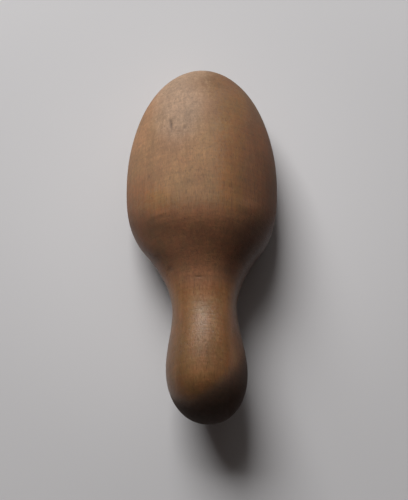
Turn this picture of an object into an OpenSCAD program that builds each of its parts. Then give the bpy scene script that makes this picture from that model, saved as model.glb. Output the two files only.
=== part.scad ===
// Sock form: a darner for the foot of a sock, shaped from one block of hardwood.
// It lies on its sole in the XY plane. The toe points along +Y, the handle along -Y
// and the domed crown along +Z. The origin is under the middle of the form.

/* [Head, seen from above] */
// Width of the head at its widest place
head_width = 65.5; // [58:0.5:72]
// From the tip of the toe back to the widest place
toe_length = 52.5; // [44:0.5:62]
// Fullness of the toe's outline, where 2 is an ellipse
toe_fullness = 2.1; // [1.9:0.05:2.6]
// Half length of the oval that the heel's sides follow
heel_arc = 36; // [33:0.5:44]
// Fullness of that oval, where 2 is an ellipse
heel_fullness = 2.5; // [2:0.05:2.8]
// How far the heel follows that oval before it draws in to the neck
heel_round = 27; // [20:0.5:29]

/* [Head, seen from the side] */
// Height of the crown above the sole
crown_height = 41; // [37:0.5:50]
// From the widest place back to the crown
crown_back = 7.5; // [0:0.5:12]
// Fullness of the crown's fall to the toe, where 2 is an ellipse
crown_fullness = 1.85; // [1.7:0.05:3]
// Height of the widest line above the sole
edge_height = 12; // [9:0.5:20]
// Height of the tip of the toe above the sole
nose_height = 17; // [12:0.5:22]
// From the widest place back to the steepest place of the heel
heel_back = 20; // [16:0.5:24]
// Drop from the crown to the steepest place of the heel
heel_drop = 4.2; // [3:0.1:7]
// Steepest slope of the heel in degrees
heel_slope = 23.5; // [20:0.5:36]
// From the widest place back to the saddle, the lowest place of the heel
saddle_back = 38; // [34:0.5:44]
// Height of the saddle above the sole
saddle_height = 31.7; // [28:0.1:34]

/* [Sole] */
// How deep the flat is cut into the round underside
sole_cut = 0.6; // [0.4:0.1:1.5]
// Fullness of the underside's sections, where 2 is an ellipse
sole_fullness = 2.6; // [2.2:0.1:3.4]
// Fullness of the sole's rise to the tip of the toe, where 2 is an ellipse
keel_fullness = 3; // [2.2:0.1:4]
// From the widest place back to where the sole starts to lift
sole_back = 15; // [8:0.5:20]

/* [Handle] */
// Diameter of the neck
neck_diameter = 28; // [24:0.5:32]
// From the widest place of the head back to the neck
neck_back = 51; // [48:0.5:56]
// Height of the neck's axis above the sole
neck_height = 19.6; // [18:0.1:24]
// Diameter of the knob
knob_diameter = 35; // [30:0.5:40]
// From the neck back to the widest place of the knob
knob_back = 25.5; // [20:0.5:32]
// Height of the knob's axis above the sole
knob_height = 21.8; // [19:0.1:28]
// Length of the knob's round end
knob_end = 23; // [17:0.5:28]
// Fullness of the knob's end, where 2 is an ellipse
knob_fullness = 2.1; // [1.9:0.05:2.6]
// Drop of the knob's tip below the knob's axis
tip_drop = 4; // [0:0.5:7]
// Fullness of the knob's top line as it falls to the tip
tip_fullness = 1.55; // [1.4:0.05:2.2]
// Sideways lean of the handle in degrees
handle_lean = 1.9; // [0:0.1:4]

/* [Hidden] */
rings = 80;
sides = 64;

total_length = toe_length + neck_back + knob_back + knob_end;
toe_y = total_length / 2;
end_y = -total_length / 2;
wide_y = toe_y - toe_length;
turn_y = wide_y - heel_round;
neck_y = wide_y - neck_back;
knob_y = neck_y - knob_back;
crown_y = wide_y - crown_back;
steep_y = wide_y - heel_back;
saddle_y = wide_y - saddle_back;
lift_y = wide_y - sole_back;
lean_y = (wide_y + turn_y) / 2;

head_r = head_width / 2;
neck_r = neck_diameter / 2;
knob_r = knob_diameter / 2;

// Quarter of a superellipse: 1 at the middle, 0 at the rim
function cap(s, n) = pow(max(0, 1 - pow(min(abs(s), 1), n)), 1 / n);

// Cubic from a at y0 to b at y1 that leaves and arrives with the slopes given
function ease(y, y0, a, slope_a, y1, b, slope_b) =
    let (h = y1 - y0, t = (y - y0) / h)
    (2 * t ^ 3 - 3 * t ^ 2 + 1) * a + (t ^ 3 - 2 * t ^ 2 + t) * h * slope_a
    + (3 * t ^ 2 - 2 * t ^ 3) * b + (t ^ 3 - t ^ 2) * h * slope_b;

// The heel's oval where it hands over to the draw-in: half width and slope
turn_s = heel_round / heel_arc;
turn_w = head_r * cap(turn_s, heel_fullness);
turn_slope = head_r / heel_arc * pow(turn_s / cap(turn_s, heel_fullness), heel_fullness - 1);

// Half of the width at y
function half_width(y) =
    y > wide_y ? head_r * cap((y - wide_y) / toe_length, toe_fullness)
    : y > turn_y ? head_r * cap((wide_y - y) / heel_arc, heel_fullness)
    : y > neck_y ? ease(y, neck_y, neck_r, 0, turn_y, turn_w, turn_slope)
    : y > knob_y ? ease(y, knob_y, knob_r, 0, neck_y, neck_r, 0)
    : knob_r * cap((knob_y - y) / knob_end, knob_fullness);

// Height of the handle's axis at y, which dips towards the knob's tip
function axis_height(y) =
    neck_height + (knob_height - neck_height) * (neck_y - y) / knob_back
    - tip_drop * pow(max(0, (knob_y - y) / knob_end), 2);

// Heights on the upper outline, seen from the side
steep_z = crown_height - heel_drop;
neck_top = neck_height + neck_r;
knob_top = knob_height + knob_r;
tip_z = axis_height(end_y);

// Slope at the neck that keeps the bend even from the saddle over the neck to the knob
saddle_to_neck = (saddle_height - neck_top) / (saddle_y - neck_y);
neck_to_knob = (neck_top - knob_top) / knob_back;
neck_slope = 1.5 * (saddle_to_neck * knob_back + neck_to_knob * (saddle_y - neck_y))
    / (saddle_y - knob_y);

// Height of the upper outline at y
function top(y) =
    y > crown_y ? nose_height
        + (crown_height - nose_height) * cap((y - crown_y) / (toe_y - crown_y), crown_fullness)
    : y > steep_y ? ease(y, steep_y, steep_z, tan(heel_slope), crown_y, crown_height, 0)
    : y > saddle_y ? ease(y, saddle_y, saddle_height, 0, steep_y, steep_z, tan(heel_slope))
    : y > neck_y ? ease(y, neck_y, neck_top, neck_slope, saddle_y, saddle_height, 0)
    : y > knob_y ? ease(y, knob_y, knob_top, 0, neck_y, neck_top, neck_slope)
    : tip_z + (knob_top - tip_z) * cap((knob_y - y) / knob_end, tip_fullness);

// Height of the lower outline at y, before the sole is cut flat
function bottom(y) =
    y > wide_y
        ? nose_height - (nose_height + sole_cut) * cap((y - wide_y) / toe_length, keel_fullness)
    : y > lift_y ? -sole_cut
    : y > neck_y ? ease(y, neck_y, neck_height - neck_r, 0, lift_y, -sole_cut, 0)
    : axis_height(y) - half_width(y);

// Height of the widest line at y
function edge(y) =
    y > wide_y ? nose_height - (nose_height - edge_height) * cap((y - wide_y) / toe_length, 2)
    : y > turn_y ? edge_height
    : y > neck_y ? ease(y, neck_y, neck_height, 0, turn_y, edge_height, 0)
    : axis_height(y);

// Sideways place of the section's middle at y
function middle(y) = max(0, lean_y - y) * tan(handle_lean);

// One section: an ellipse above the widest line and a fuller curve below it
function lobe(v, n) = sign(v) * pow(abs(v), 2 / n);
function section(y) =
    let (
        near = min(1, max(0, (y - neck_y) / neck_back)),
        full = 2 + (sole_fullness - 2) * near * near * (3 - 2 * near),
        w = half_width(y), c = middle(y), e = edge(y), up = top(y) - e, down = e - bottom(y)
    )
    [for (i = [0 : sides - 1])
        let (a = 360 * i / sides, n = i < sides / 2 ? 2 : full, s = lobe(sin(a), n))
        [c + w * lobe(cos(a), n), y, e + (s > 0 ? up : down) * s]];

// Stations crowd together towards both round ends
function station(k) = -total_length / 2 * cos(180 * k / rings);

// What is cut away so that the sole is flat
module below_sole() {
    translate([-total_length, -total_length, -total_length])
        cube([2 * total_length, 2 * total_length, total_length]);
}

module sock_form() {
    first = [middle(end_y), end_y, tip_z];
    last = [0, toe_y, nose_height];
    skin = [for (k = [1 : rings - 1]) each section(station(k))];
    count = len(skin);
    end_faces = [for (i = [0 : sides - 1]) [count, i, (i + 1) % sides]];
    toe_faces = [for (i = [0 : sides - 1])
        [count + 1, count - sides + (i + 1) % sides, count - sides + i]];
    side_faces = [for (k = [0 : rings - 3], i = [0 : sides - 1])
        let (a = k * sides + i, b = k * sides + (i + 1) % sides)
        each [[a, a + sides, b + sides], [a, b + sides, b]]];
    faces = concat(end_faces, side_faces, toe_faces);
    color([0.52, 0.37, 0.25])
        difference() {
            polyhedron(points = concat(skin, [first, last]), faces = faces);
            below_sole();
        }
}

sock_form();
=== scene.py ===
# Sock form: a wooden darning form that lies crown up on pale paper, seen from straight above.
# Lengths are in metres, +Y runs to the toe, +Z up from the sole.
import bpy
import numpy as np
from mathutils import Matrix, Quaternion, Vector


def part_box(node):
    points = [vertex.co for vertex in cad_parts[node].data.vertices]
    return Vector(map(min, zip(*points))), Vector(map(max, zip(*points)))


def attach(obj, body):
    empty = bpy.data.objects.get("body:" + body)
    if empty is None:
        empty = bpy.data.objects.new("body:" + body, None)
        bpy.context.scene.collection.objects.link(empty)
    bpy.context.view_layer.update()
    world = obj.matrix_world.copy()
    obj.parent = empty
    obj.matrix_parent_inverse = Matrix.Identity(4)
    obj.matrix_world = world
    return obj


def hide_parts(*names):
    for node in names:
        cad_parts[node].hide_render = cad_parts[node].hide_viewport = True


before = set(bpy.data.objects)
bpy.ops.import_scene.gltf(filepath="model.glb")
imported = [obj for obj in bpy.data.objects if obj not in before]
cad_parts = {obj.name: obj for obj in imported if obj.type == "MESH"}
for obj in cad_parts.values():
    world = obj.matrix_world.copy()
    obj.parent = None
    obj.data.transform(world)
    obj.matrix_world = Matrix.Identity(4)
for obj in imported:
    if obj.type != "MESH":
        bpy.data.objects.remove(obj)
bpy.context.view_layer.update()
mm = 0.001


def cap(s, n):
    # quarter of a superellipse: 1 in the middle, 0 at the rim
    return np.clip(1 - np.clip(np.abs(s), 0, 1) ** n, 0, None) ** (1 / n)


def ease(y, y0, a, slopeA, y1, b, slopeB):
    # cubic from a at y0 to b at y1 that leaves and arrives with the slopes given
    h = y1 - y0
    t = np.clip((y - y0) / h, 0, 1)
    rise = 3 * t**2 - 2 * t**3
    return a + (b - a) * rise + (t**3 - 2 * t**2 + t) * h * slopeA + (t**3 - t**2) * h * slopeB


def smooth(x, low, high):
    # 0 below low, 1 above high, with a soft rise between them
    t = np.clip((x - low) / (high - low), 0, 1)
    return t * t * (3 - 2 * t)


def fade(x, low, high):
    # the other way round: 1 below low, 0 above high
    return 1 - smooth(x, low, high)


def stripe(x, centre, half):
    # 1 at the centre, a third at half to either side of it, near 0 from twice that
    return np.exp(-(((x - centre) / half) ** 2))


def strongest(*parts):
    return np.maximum.reduce(parts)


# the form

form = {
    "rows": 400,  # along the length
    "columns": 236,  # around
    "crowd": 6,  # how late the rings start to crowd towards the ends
    "toeLength": 52.5 * mm,  # toe tip to the widest place
    "toeFullness": 2.05,
    "heelArc": 36 * mm,
    "heelFullness": 2.5,
    "heelRound": 27 * mm,
    "crownBack": 7.5 * mm,  # this and the next three start at the widest place
    "heelBack": 20 * mm,
    "saddleBack": 38 * mm,
    "neckBack": 51 * mm,
    "crownFullness": 1.85,
    "edgeHeight": 12 * mm,
    "noseHeight": 17 * mm,
    "heelDrop": 4.2 * mm,
    "heelSlope": 23.5,  # degrees
    "saddleHeight": 31.7 * mm,
    "soleCut": 0.6 * mm,
    "soleFullness": 2.6,
    "keelFullness": 3.0,
    "soleBack": 15 * mm,
    "neckRadius": 14 * mm,
    "neckHeight": 19.6 * mm,
    "knobRadius": 17.5 * mm,
    "knobBack": 25.5 * mm,
    "knobHeight": 21.8 * mm,
    "knobFullness": 2.1,
    "tipDrop": 4 * mm,
    "tipFullness": 1.55,
    "lean": 1.9,  # degrees, sideways
    "soft": 4.5 * mm,  # how far sanding softens the turns of the top line
}


# The lines that the form is built on, at the stations y: the sideways place of a section's middle,
# half its width, its top, its bottom, the height of its widest line and how full its underside is,
# from 0 at the neck to 1. Ends are superellipses, and what lies between them is a chain of cubics
# that meet with equal slopes.
def formLines(y):
    low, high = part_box("sock_form")
    toeY, endY, crown, halfWidth = high.y, low.y, high.z, high.x
    wideY = toeY - form["toeLength"]
    turnY = wideY - form["heelRound"]
    neckY = wideY - form["neckBack"]
    knobY = neckY - form["knobBack"]
    heelFullness, turn = form["heelFullness"], form["heelRound"] / form["heelArc"]
    turnWidth = halfWidth * cap(turn, heelFullness)
    turnSlope = halfWidth / form["heelArc"] * (turn / cap(turn, heelFullness)) ** (heelFullness - 1)
    neckRadius, knobRadius = form["neckRadius"], form["knobRadius"]
    outline = [
        halfWidth * cap((y - wideY) / form["toeLength"], form["toeFullness"]),
        halfWidth * cap((wideY - y) / form["heelArc"], heelFullness),
        ease(y, neckY, neckRadius, 0, turnY, turnWidth, turnSlope),
        ease(y, knobY, knobRadius, 0, neckY, neckRadius, 0),
    ]
    knobEnd = knobRadius * cap((knobY - y) / (knobY - endY), form["knobFullness"])
    width = np.select([y > wideY, y > turnY, y > neckY, y > knobY], outline, knobEnd)

    def axisAt(y):
        rise = (form["knobHeight"] - form["neckHeight"]) / form["knobBack"]
        dip = form["tipDrop"] * np.maximum(0, (knobY - y) / (knobY - endY)) ** 2
        return form["neckHeight"] + rise * (neckY - y) - dip

    axis, tip = axisAt(y), axisAt(endY)
    nose = form["noseHeight"]
    crownY, steepY, saddleY = (wideY - form[name] for name in ("crownBack", "heelBack", "saddleBack"))
    steep, saddle = crown - form["heelDrop"], form["saddleHeight"]
    slope = np.tan(np.radians(form["heelSlope"]))
    neckTop, knobTop = form["neckHeight"] + neckRadius, form["knobHeight"] + knobRadius
    # the slope at the neck that keeps the bend even from the saddle over the neck to the knob
    rise, climb = (saddle - neckTop) / (saddleY - neckY), (neckTop - knobTop) / (neckY - knobY)
    neckSlope = 1.5 * (rise * (neckY - knobY) + climb * (saddleY - neckY)) / (saddleY - knobY)
    ridge = [
        nose + (crown - nose) * cap((y - crownY) / (toeY - crownY), form["crownFullness"]),
        ease(y, steepY, steep, slope, crownY, crown, 0),
        ease(y, saddleY, saddle, 0, steepY, steep, slope),
        ease(y, neckY, neckTop, neckSlope, saddleY, saddle, 0),
        ease(y, knobY, knobTop, 0, neckY, neckTop, neckSlope),
    ]
    knobFall = tip + (knobTop - tip) * cap((knobY - y) / (knobY - endY), form["tipFullness"])
    top = np.select([y > crownY, y > steepY, y > saddleY, y > neckY, y > knobY], ridge, knobFall)

    liftY, sole = wideY - form["soleBack"], -form["soleCut"]
    keel = [
        nose - (nose - sole) * cap((y - wideY) / form["toeLength"], form["keelFullness"]),
        sole + 0 * y,
        ease(y, neckY, form["neckHeight"] - neckRadius, 0, liftY, sole, 0),
    ]
    bottom = np.select([y > wideY, y > liftY, y > neckY], keel, axis - width)
    rim = [
        nose - (nose - form["edgeHeight"]) * cap((y - wideY) / form["toeLength"], 2),
        form["edgeHeight"] + 0 * y,
        ease(y, neckY, form["neckHeight"], 0, turnY, form["edgeHeight"], 0),
    ]
    edge = np.select([y > wideY, y > turnY, y > neckY], rim, axis)
    middle = np.maximum((wideY + turnY) / 2 - y, 0) * np.tan(np.radians(form["lean"]))
    return middle, width, top, bottom, edge, smooth(y, neckY, wideY)


# Rings of points along the form. A ring is half an ellipse over its widest line and half a fuller
# curve under it, cut flat at the sole. Rings lie evenly and crowd together only near both round ends.
def formSurface():
    low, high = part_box("sock_form")
    length = high.y - low.y
    u = 2 * np.arange(1, form["rows"]) / form["rows"] - 1
    crowd = form["crowd"]
    y = length / 2 * (u * (1 + 1 / crowd) - u * np.abs(u) ** crowd / crowd)
    middle, width, top, bottom, edge, full = formLines(y)
    # the top line is averaged with its neighbours, the nearest most, but keeps its curve at the ends
    inner = smooth(length / 2 - np.abs(y), 8 * mm, 20 * mm)
    steps = np.linspace(-1, 1, 7)
    limit = length / 2 - 0.1 * mm  # just inside the tips
    around = [formLines(np.clip(y + step * form["soft"], -limit, limit))[2] for step in steps]
    top += (np.average(around, axis=0, weights=np.cos(1.3 * steps)) - top) * inner
    v = 2 * np.pi * np.arange(form["columns"]) / form["columns"]
    angle = v + 0.3 * np.cos(v)  # columns crowd towards the crown
    c, s = np.cos(angle)[None, :], np.sin(angle)[None, :]
    n = np.where(s >= 0, 2.0, 2 + (form["soleFullness"] - 2) * full[:, None])
    across = np.sign(c) * np.abs(c) ** (2 / n)
    up = np.sign(s) * np.abs(s) ** (2 / n)
    x = middle[:, None] + width[:, None] * across
    z = edge[:, None] + np.where(up > 0, (top - edge)[:, None], (edge - bottom)[:, None]) * up
    z = np.maximum(z, 0)
    grid = np.stack([x, np.repeat(y[:, None], form["columns"], 1), z], -1)
    ends = formLines(np.array([-length / 2, length / 2]))
    tips = np.stack([ends[0], [-length / 2, length / 2], ends[4]], -1)
    return grid, tips


# A closed skin through the rings of the grid, with a fan of faces to a tip at each end.
def ringMesh(name, grid, tips):
    rings, columns = grid.shape[:2]
    i, j = np.meshgrid(np.arange(rings - 1), np.arange(columns), indexing="ij")
    a, b = i * columns + j, i * columns + (j + 1) % columns
    sides = np.stack([a, a + columns, b + columns, b], -1).reshape(-1, 4)
    k = np.arange(columns)
    last = (rings - 1) * columns
    endFan = np.stack([np.full(columns, rings * columns), k, (k + 1) % columns], -1)
    toeFan = np.stack([np.full(columns, rings * columns + 1), last + (k + 1) % columns, last + k], -1)
    mesh = bpy.data.meshes.new(name)
    points = np.concatenate([grid.reshape(-1, 3), tips])
    faces = sides.tolist() + endFan.tolist() + toeFan.tolist()
    mesh.from_pydata(points.tolist(), [], faces)
    mesh.polygons.foreach_set("use_smooth", np.ones(len(faces), bool))
    mesh.update()
    piece = bpy.data.objects.new(name, mesh)
    bpy.context.scene.collection.objects.link(piece)
    return piece


# wear: a surface is bent by small soft dents and marked with how worn or dirty each point is and where
# shade and a sheen are painted on it

wear = {
    "hand": 0.12 * mm,  # height of the slow waves left by hand sanding
    "swells": [  # x, y, half width, half length, height (mm) and turn (degrees)
        (9, 3, 11, 7, 0.3, 0),
        (-12, 6, 8, 6, -0.3, 0),
        (-17.2, 13.5, 4, 0.9, 0.09, 18),
        (19, 16.5, 5.5, 2.6, 0.22, -10),
        (4.5, -34, 9, 10, 0.5, 0),
    ],
    "dents": [  # the same with depths
        (-12.8, 51.0, 0.5, 2.3, 0.45, 6),
        (-13.9, 58.8, 0.35, 1.5, 0.2, 8),
        (-14.6, 63.6, 0.35, 1.2, 0.16, 4),
        (-9.6, 47.6, 1.6, 0.3, 0.14, 0),
        (-5.4, 54.8, 1.4, 0.3, 0.14, 24),
        (-1.2, 60.5, 1.1, 0.3, 0.12, -36),
        (-6.9, 49.5, 0.6, 1.0, 0.28, -30),
        (-13.3, -9.7, 1.2, 1.4, 0.2, 0),
        (12.0, 24.5, 2.0, 1.0, 0.1, -15),
        (-1.2, -12.4, 1.3, 0.25, 0.2, 0),
    ],
    "crease": {"y": -12.4, "sag": 0.01, "reach": 6.5, "width": 0.3, "depth": 0.025},  # mm
    "patches": {  # soft round spots: x, y, half width and half length (mm)
        # painted shade on the handle's left side, where it dims the sheen
        "leftHandleShade": (-6, -43, 4.5, 11),
        "neckShadow": (12, -10, 5, 9),  # painted shadow of the head, where the heel runs into the neck
        "side": (-18, 18, 8, 6),
        "dull": (-15.5, 54.5, 4.5, 6),  # on the toe
    },
}


# A bell over an ellipse that is turned in the plane seen from above: 1 in the middle, 0 far away.
def bell(x, y, centreX, centreY, halfWidth, halfLength, turn=0):
    c, s = np.cos(np.radians(turn)), np.sin(np.radians(turn))
    dx, dy = x - centreX, y - centreY
    across, along = (c * dx + s * dy) / halfWidth, (c * dy - s * dx) / halfLength
    return np.exp(-(across**2) - along**2)


# The dents or swells of a list added up, each a bell times its height.
def bumps(x, y, parts):
    return sum(height * bell(x, y, *place, turn) for *place, height, turn in parts)


# Points move along their normals: by dents, swells, the crease and slow waves. The crease is an arc
# over the neck's upper side. Returns the moved grid, its normals and how deep the dents lie.
def wearDown(grid):
    along = np.gradient(grid, axis=0)
    around = np.roll(grid, -1, 1) - np.roll(grid, 1, 1)
    normal = np.cross(along, around)
    normal /= np.linalg.norm(normal, axis=2, keepdims=True)
    x, y, z = (grid / mm).transpose(2, 0, 1)
    upper = smooth(normal[..., 2], 0.05, 0.35)
    crease = wear["crease"]
    line = stripe(y + crease["sag"] * x**2, crease["y"], crease["width"])
    line *= fade(np.abs(x - 0.5), 0.6 * crease["reach"], crease["reach"])
    depth = (bumps(x, y, wear["dents"]) + crease["depth"] * line) * upper
    waves = np.sin(0.21 * x + 0.13 * y + 1) + np.sin(0.17 * y - 0.12 * z + 2) + np.sin(0.29 * y + 0.2 * x)
    rest = smooth(z, 0.3, 4)  # none at the flat sole
    swell = bumps(x, y, wear["swells"]) * upper
    shift = (swell - depth) * mm - wear["hand"] / 3 * (1.5 + 0.5 * waves) * rest
    return grid + normal * shift[..., None], normal, depth


# How far each zone of wear, painted shade or painted sheen holds at the points, from 0 to 1. A zone is
# the strongest of its patches, and a patch is a product of soft rises and falls across the form, along it
# and with how far the surface faces up. Places are in mm.
def wearZones(grid, normal, depth):
    x, y = (grid / mm).transpose(2, 0, 1)[:2]
    up = normal[..., 2]
    patch = {name: bell(x, y, *place) for name, place in wear["patches"].items()}
    head, toe, heel = smooth(y, 8, 26), smooth(y, 44, 58), smooth(y, -12, 2)

    # painted shade on the steep sides, most on the right, which faces away from the light
    flankShade = fade(0.25 * normal[..., 0] + 0.97 * up, 0.5, 0.95)
    flankShade *= 1 - 0.6 * stripe(y, -21, 9)  # less of the painted shade at the neck
    flankShade *= 1 - 0.75 * fade(x, -18, -8) * smooth(y, -22, -12) * fade(y, 0, 10)
    bent = x + 0.8 * np.clip(y - 60, 0, 4)  # across the toe, with a bend near its tip
    pale = smooth(x, -28, -12) * fade(bent - 0.3 * (y - 50), -10, 8)
    steep = fade(up, 0.45 + 0.3 * heel, 0.9 + 0.1 * heel)
    shade = smooth(x, 5, 15) * fade(y, 8, 18) * steep * (0.5 + 0.14 * heel)
    # painted shade on the neck's right side
    rightNeckShade = smooth(x, 5, 13) * fade(y, -32, -18)
    bare = smooth(x, 8, 14) * fade(y, -48, -16)  # the handle's right side has lost its gloss
    polish = [fade(y - reach * np.maximum(np.abs(x) - 8, 0), -34, 2) for reach in (0, 1.2)]
    blend = 12 + 0.4 * np.maximum(x, 0)  # the painted shade and grime on the knob's end fade out more slowly on the right
    # mostly painted shade over the knob's end, which faces away from the light, with some grime
    end = 1 - np.minimum(smooth((y - 0.8 * x + 60.5) / blend, -0.5, 0.5), smooth(y + 0.1 * x, -71, -59))
    return {
        "handled": fade(y, -35, 0) * (1 - 0.6 * rightNeckShade),
        "polished": strongest(polish[0], 0.66 * polish[1]) * (1 - 0.8 * bare),
        # pale greyer wood on the toe's left: partly worn wood, partly a painted sheen
        "scuffedAndSheen": pale * smooth(y, 30, 56) * (1 - 0.35 * patch["dull"]),
        "browned": strongest(
            fade(y, 12, 24),
            smooth(x, 0, 14) * (1 - 0.5 * toe),
            0.7 * fade(x, -24, -12) * fade(y, 22, 38),
        ),
        # partly painted shade, on the steep sides, the neck's right and the handle's left where it dims
        # the sheen; darker too over the head's right side, in a band across the crown, in a streak and a
        # dull spot on the toe and at the toe's right tip
        "stainAndShade": strongest(
            0.85 * (flankShade * (1 - head) + smooth(x, 0, 22) * head),
            0.4 * stripe(x, 3.4, 2.2) * smooth(y, 33, 50),
            0.5 * stripe(y, 18, 5),
            0.75 * rightNeckShade,
            0.5 * patch["leftHandleShade"],
            0.85 * patch["dull"],
            toe * smooth(bent, -3, 8),
        ),
        "yellowed": stripe(x, 13, 6) * smooth(y, 8, 20) * fade(y, 60, 70) + patch["side"],
        # a painted sheen: a paler, greyer patch along the handle's top
        "paintedSheen": bell(x - 0.15 * (y + 30), y, 3, -30, 5.5, 13),
        # painted shade: the right side's steep faces, the head's shadow on the neck and the toe's right
        # edge
        "shaded": strongest(
            shade,
            0.6 * patch["neckShadow"] * smooth(up, 0, 0.4),
            0.38 * stripe(x, 21, 4) * smooth(y, 36, 46),
        ),
        # painted shade with some grime over the knob's end, and darker over the toe's tip
        "grimeAndShade": strongest(end, 0.45 * smooth(y, 59, 70) * smooth(x, -13, -2)),
        "dirt": np.clip(depth / 0.3, 0, 1) ** 1.5,
    }


wood = {
    "light": (0.239, 0.125, 0.056),
    "dark": (0.183, 0.092, 0.039),
    "warm": (1.04, 0.975, 0.94),  # the two tints that blotches take
    "olive": (0.96, 1.005, 0.94),
    "zones": {  # what a zone of wear, painted shade or painted sheen does to the colour
        "handled": (0.84, 0.98, 1.0),
        "browned": (0.92, 0.72, 0.64),
        # darker: partly stain, partly painted shade
        "stainAndShade": (0.70, 0.685, 0.61),
        "yellowed": (1.0, 1.0, 0.73),
        # the painted sheen: paler and greyer
        "paintedSheen": (1.05, 1.18, 1.36),
        "shaded": (0.41, 0.38, 0.37),
        # painted shade with some grime: dark and dull
        "grimeAndShade": (0.41, 0.38, 0.37),
    },
    "even": ("shaded", "grimeAndShade"),  # zones whose border is hardly ragged
    # pale greyer wood: partly worn wood, partly a painted sheen
    "scuffedAndSheen": (0.212, 0.137, 0.086),
    "dirt": (0.055, 0.028, 0.014),
    "pith": (0.085, 0.0, -0.06),  # where the tree's middle ran, in metres
    "ring": 0.0026,  # width of a year's growth, in metres
    "patterns": {  # sizes of the patches along X, Y and Z in mm; a shift gives each its own place
        "streaks": {"size": (1.5, 34, 1.5), "detail": 3, "roughness": 0.6, "distortion": 0.3},
        "fibres": {"size": (0.32, 7, 0.32), "detail": 2, "roughness": 0.6, "shift": 3},
        "pores": {"size": (0.24, 3, 0.24), "detail": 1, "shift": 7},
        "blotches": {"size": (15, 24, 15), "detail": 3, "roughness": 0.55, "shift": 11},
        "clouds": {"size": (9, 13, 9), "detail": 4, "roughness": 0.6, "shift": 17},
        "speckle": {"size": (1.1, 1.3, 1.1), "detail": 3, "roughness": 0.7, "shift": 23},
        "mottle": {"size": (2.6, 3.4, 2.6), "detail": 2, "roughness": 0.6, "shift": 19},
        "marks": {"size": (14, 0.9, 14), "detail": 3, "roughness": 0.6, "turn": -31, "shift": 29},
        "scores": {"size": (3.5, 0.5, 3.5), "detail": 3, "roughness": 0.7, "shift": 32},
        "pits": {"size": (0.6, 1.4, 0.6), "detail": 2, "roughness": 0.6, "shift": 38},
    },
}


# A node with its settings and the values or links of its sockets.
def addNode(tree, kind, sockets=None, **settings):
    node = tree.nodes.new("ShaderNode" + kind)
    for name, value in settings.items():
        setattr(node, name, value)
    for name, value in (sockets or {}).items():
        if isinstance(value, bpy.types.NodeSocket):
            tree.links.new(value, node.inputs[name])
        else:
            node.inputs[name].default_value = value
    return node


# Noise whose patches are about as large as size, in mm along X, Y and Z, before it is turned about X.
def noise(tree, place, size, detail=2, roughness=0.5, turn=0, shift=0, distortion=0):
    mapping = {"Vector": place, "Scale": [side * mm for side in size], "Location": (shift, 0, 0)}
    mapping["Rotation"] = (np.radians(turn), 0, 0)
    pattern = addNode(tree, "Mapping", mapping, vector_type="TEXTURE")
    settings = {"Vector": pattern.outputs[0], "Scale": 1, "Detail": detail, "Roughness": roughness}
    settings["Distortion"] = distortion
    return addNode(tree, "TexNoise", settings).outputs["Fac"]


# A value that runs from toLow to toHigh, with a soft start and end, while another runs from low to high.
def spread(tree, value, low, high, toLow=0, toHigh=1):
    sockets = {"Value": value, "From Min": low, "From Max": high, "To Min": toLow, "To Max": toHigh}
    return addNode(tree, "MapRange", sockets, interpolation_type="SMOOTHSTEP").outputs[0]


def combine(tree, operation, *values):
    return addNode(tree, "Math", dict(enumerate(values)), operation=operation).outputs[0]


def times(tree, a, b):
    return combine(tree, "MULTIPLY", a, b)


def plus(tree, a, b):
    return combine(tree, "ADD", a, b)


# The way from colour a to colour b or, with another blend, to b laid over a.
def mixColour(tree, factor, a, b, blend="MIX"):
    colours = [(*c, 1) if isinstance(c, tuple) else c for c in (a, b)]
    sockets = {0: factor, 6: colours[0], 7: colours[1]}
    return addNode(tree, "Mix", sockets, data_type="RGBA", blend_type=blend).outputs[2]


def tinted(tree, colour, tint):
    return mixColour(tree, 1.0, colour, tint, "MULTIPLY")


def zone(tree, name):
    return addNode(tree, "Attribute", attribute_name=name).outputs["Fac"]


# Cylinders round the pith, each a year that grows darker towards its end.
def growthRings(tree, place):
    sockets = {"Vector": place, "Location": wood["pith"], "Rotation": (0, 0, np.radians(3))}
    rings = addNode(tree, "Mapping", sockets, vector_type="TEXTURE").outputs[0]
    turns = 2 * np.pi / (20 * wood["ring"])  # the texture fits 20 radians into a unit
    sockets = {"Vector": rings, "Scale": turns, "Distortion": 5, "Detail": 2, "Detail Scale": 0.12}
    years = addNode(tree, "TexWave", sockets, wave_type="RINGS", rings_direction="Y", wave_profile="SAW")
    return spread(tree, years.outputs["Fac"], 0.2, 1.0)
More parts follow.
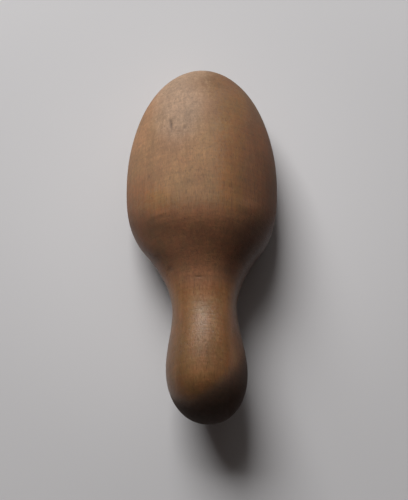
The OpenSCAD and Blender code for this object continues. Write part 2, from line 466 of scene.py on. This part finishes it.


# Aged close-grained hardwood. Growth rings lie round the pith, streaks and pores run along Y, marks
# of shaping cross the heel, and blotches, wear, grime, painted shade and a painted sheen lie over them.
def woodFinish():
    material = bpy.data.materials.new("agedHardwood")
    material.use_nodes = True
    tree = material.node_tree
    shader = tree.nodes["Principled BSDF"]
    place = addNode(tree, "TexCoord").outputs["Object"]
    pattern = {name: noise(tree, place, **settings) for name, settings in wood["patterns"].items()}
    fibres, speckle = pattern["fibres"], pattern["speckle"]

    # bare wood
    tone = plus(tree, times(tree, pattern["streaks"], 0.45), times(tree, fibres, 0.35))
    colour = mixColour(tree, spread(tree, tone, 0.24, 0.56), wood["dark"], wood["light"])
    colour = mixColour(tree, times(tree, growthRings(tree, place), 0.18), colour, wood["dark"])
    mottled = combine(tree, "MULTIPLY_ADD", zone(tree, "browned"), 0.7, 0.3)
    for patches, strength in ((pattern["blotches"], 0.7), (pattern["mottle"], mottled)):
        tint = mixColour(tree, spread(tree, patches, 0.36, 0.64), wood["warm"], wood["olive"])
        colour = mixColour(tree, strength, colour, tint, "MULTIPLY")
    shade = spread(tree, pattern["clouds"], 0.3, 0.7, 0.88, 1.12)
    shade = times(tree, shade, spread(tree, pattern["marks"], 0.35, 0.65, 0.94, 1.06))
    shade = times(tree, shade, spread(tree, speckle, 0.3, 0.7, 0.87, 1.13))
    colour = tinted(tree, colour, shade)
    poreDark = spread(tree, pattern["pores"], 0.58, 0.70, 0, 0.46)
    colour = mixColour(tree, poreDark, colour, wood["dirt"])

    rough = plus(tree, times(tree, speckle, 0.8), times(tree, pattern["clouds"], 0.5))
    ragged = spread(tree, rough, 0.45, 0.85, -0.2, 0.2)

    # a zone's mask, with a ragged border
    def worn(name, most=1.0):
        border = times(tree, ragged, 0.25 if name in wood["even"] else 1.0)
        return spread(tree, plus(tree, zone(tree, name), border), 0.15, 0.95, 0, most)

    # wear, painted shade and a painted sheen: tinted zones, then pale greyer wood with scores and pits in
    # it, partly worn wood and partly a painted sheen, then dirt in the dents
    for name, tint in wood["zones"].items():
        colour = mixColour(tree, worn(name), colour, tinted(tree, colour, tint))
    scuffedAndSheen = worn("scuffedAndSheen", 0.75)
    grain = times(tree, shade, spread(tree, tone, 0.24, 0.56, 0.78, 1.22))
    colour = mixColour(tree, scuffedAndSheen, colour, tinted(tree, wood["scuffedAndSheen"], grain))
    scores = spread(tree, pattern["scores"], 0.56, 0.68, 0, 0.5)
    scratches = combine(tree, "MAXIMUM", scores, spread(tree, pattern["pits"], 0.59, 0.69))
    scored = times(tree, scratches, scuffedAndSheen)
    colour = mixColour(tree, times(tree, scored, 0.6), colour, wood["dirt"])
    colour = mixColour(tree, times(tree, zone(tree, "dirt"), 0.75), colour, wood["dirt"])
    tree.links.new(colour, shader.inputs["Base Color"])

    gloss = spread(tree, zone(tree, "polished"), 0.2, 0.65, 0.80, 0.39)
    gloss = plus(tree, gloss, worn("grimeAndShade", 0.5))
    gloss = plus(tree, gloss, spread(tree, speckle, 0.3, 0.7, -0.03, 0.05))
    tree.links.new(gloss, shader.inputs["Roughness"])
    shader.inputs["Specular IOR Level"].default_value = 0.72

    # relief, smoothed by the hand where the wood was handled
    height = combine(tree, "SUBTRACT", times(tree, fibres, 0.5), poreDark)
    height = combine(tree, "SUBTRACT", height, scored)
    height = plus(tree, height, times(tree, speckle, spread(tree, worn("handled"), 0, 1, 0.8, 0.35)))
    height = plus(tree, height, times(tree, pattern["marks"], 0.7))
    bump = addNode(tree, "Bump", {"Height": height, "Distance": 0.06 * mm, "Strength": 1.0})
    tree.links.new(bump.outputs[0], shader.inputs["Normal"])
    return material


grid, tips = formSurface()
print("surface:", *grid.shape[:2], "rings and columns")
grid, normal, depth = wearDown(grid)
print("wear: deepest dent", round(float(depth.max()), 2), "mm")
piece = ringMesh("turnedForm", grid, tips)
for zoneName, amount in wearZones(grid, normal, depth).items():
    ends = amount[[0, -1]].mean(1)  # the two tips take their ring's mean
    values = np.concatenate([amount.ravel(), ends])
    attribute = piece.data.attributes.new(zoneName, "FLOAT", "POINT")
    attribute.data.foreach_set("value", values.astype(np.float32))
print("form:", len(piece.data.vertices), "points")
piece.data.materials.append(woodFinish())
print("finish: aged hardwood")
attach(piece, "root")
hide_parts("sock_form")

# paper, camera and light

paper = {
    "size": 6.0,  # side of the sheet
    "colour": (0.558, 0.548, 0.553),
    # painted shade: the paper darkens away from the middle
    "far": (0.505, 0.498, 0.504),
    "reach": (0.035, 0.125),  # how far from the middle the painted shade starts and ends, as the paper turns to the far colour
}


def layPaper():
    bpy.ops.mesh.primitive_plane_add(size=paper["size"])
    floor = bpy.context.object
    floor.name = "paperFloor"
    material = bpy.data.materials.new("palePaper")
    material.use_nodes = True
    tree = material.node_tree
    shader = tree.nodes["Principled BSDF"]
    place = addNode(tree, "TexCoord").outputs["Object"]
    away = addNode(tree, "VectorMath", {0: place}, operation="LENGTH").outputs["Value"]
    # painted shade: the paper darkens away from the middle
    colour = mixColour(tree, spread(tree, away, *paper["reach"]), paper["colour"], paper["far"])
    tree.links.new(colour, shader.inputs["Base Color"])
    shader.inputs["Roughness"].default_value = 0.9
    shader.inputs["Specular IOR Level"].default_value = 0.2
    floor.data.materials.append(material)


camera = {
    "height": 0.45,
    "picture": (408, 500),  # pixels
    "formLength": 351.2,  # pixels from toe to knob
    "formMiddle": (201.8, 247.1),  # pixel under the middle of the form
    "outlineHeight": 15 * mm,  # height of the form's outline above the paper
}


def hangCamera():
    # straight down, with the form as large and as far off the middle as in the photograph
    low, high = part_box("sock_form")
    width, height = camera["picture"]
    scale = (high.y - low.y) / camera["formLength"]
    data = bpy.data.cameras.new("overheadCamera")
    data.sensor_fit = "VERTICAL"
    data.angle = 2 * np.arctan(height / 2 * scale / (camera["height"] - camera["outlineHeight"]))
    rig = bpy.data.objects.new("overheadCamera", data)
    x = (width / 2 - camera["formMiddle"][0]) * scale
    y = (camera["formMiddle"][1] - height / 2) * scale
    rig.location = (x, y, camera["height"])
    bpy.context.scene.collection.objects.link(rig)
    bpy.context.scene.camera = rig


studio = {
    "distance": 1.45,  # of the lamps from the form
    "lamps": {  # azimuth from the toe's direction, elevation, width and height seen, tilt (degrees), watts
        "softbox": {"azimuth": -19.5, "elevation": 32.5, "seen": (32.5, 25.0), "tilt": -15, "power": 35.0},
        "glow": {"azimuth": 8, "elevation": 33.0, "seen": (62.0, 28.0), "tilt": 0, "power": 2.6},
    },
    "room": 0.045,  # light from the rest of the room
    "roomLean": 0.7,  # how much more of it comes from beyond the toe than from behind the knob
    "roomColour": (1.0, 0.80, 0.73),
}


def hangLamp(name, place):
    azimuth, elevation = np.radians(place["azimuth"]), np.radians(place["elevation"])
    level = np.cos(elevation)
    aim = Vector((level * np.sin(azimuth), level * np.cos(azimuth), np.sin(elevation)))
    data = bpy.data.lights.new(name, "AREA")
    data.shape = "RECTANGLE"
    data.size, data.size_y = (2 * studio["distance"] * np.tan(np.radians(a / 2)) for a in place["seen"])
    data.energy = place["power"]
    lamp = bpy.data.objects.new(name, data)
    lamp.location = aim * studio["distance"]
    lamp.rotation_mode = "QUATERNION"
    turn = Quaternion((0, 0, 1), np.radians(place["tilt"]))
    lamp.rotation_quaternion = aim.to_track_quat("Z", "Y") @ turn
    bpy.context.scene.collection.objects.link(lamp)


def lightRoom():
    world = bpy.data.worlds.new("room")
    bpy.context.scene.world = world
    world.use_nodes = True
    tree = world.node_tree
    direction = addNode(tree, "TexCoord").outputs["Generated"]
    ahead = addNode(tree, "SeparateXYZ", {0: direction}).outputs["Y"]
    dim, bright = (studio["room"] * (1 + side * studio["roomLean"]) for side in (-1, 1))
    sockets = {"Value": ahead, "From Min": -1, "From Max": 1, "To Min": dim, "To Max": bright}
    strength = addNode(tree, "MapRange", sockets).outputs[0]
    tree.links.new(strength, tree.nodes["Background"].inputs["Strength"])
    tree.nodes["Background"].inputs["Color"].default_value = (*studio["roomColour"], 1)


layPaper()
hangCamera()
for lampName, lampPlace in studio["lamps"].items():
    hangLamp(lampName, lampPlace)
lightRoom()
bpy.context.scene.view_settings.view_transform = "Standard"
print("paper, camera and light set")
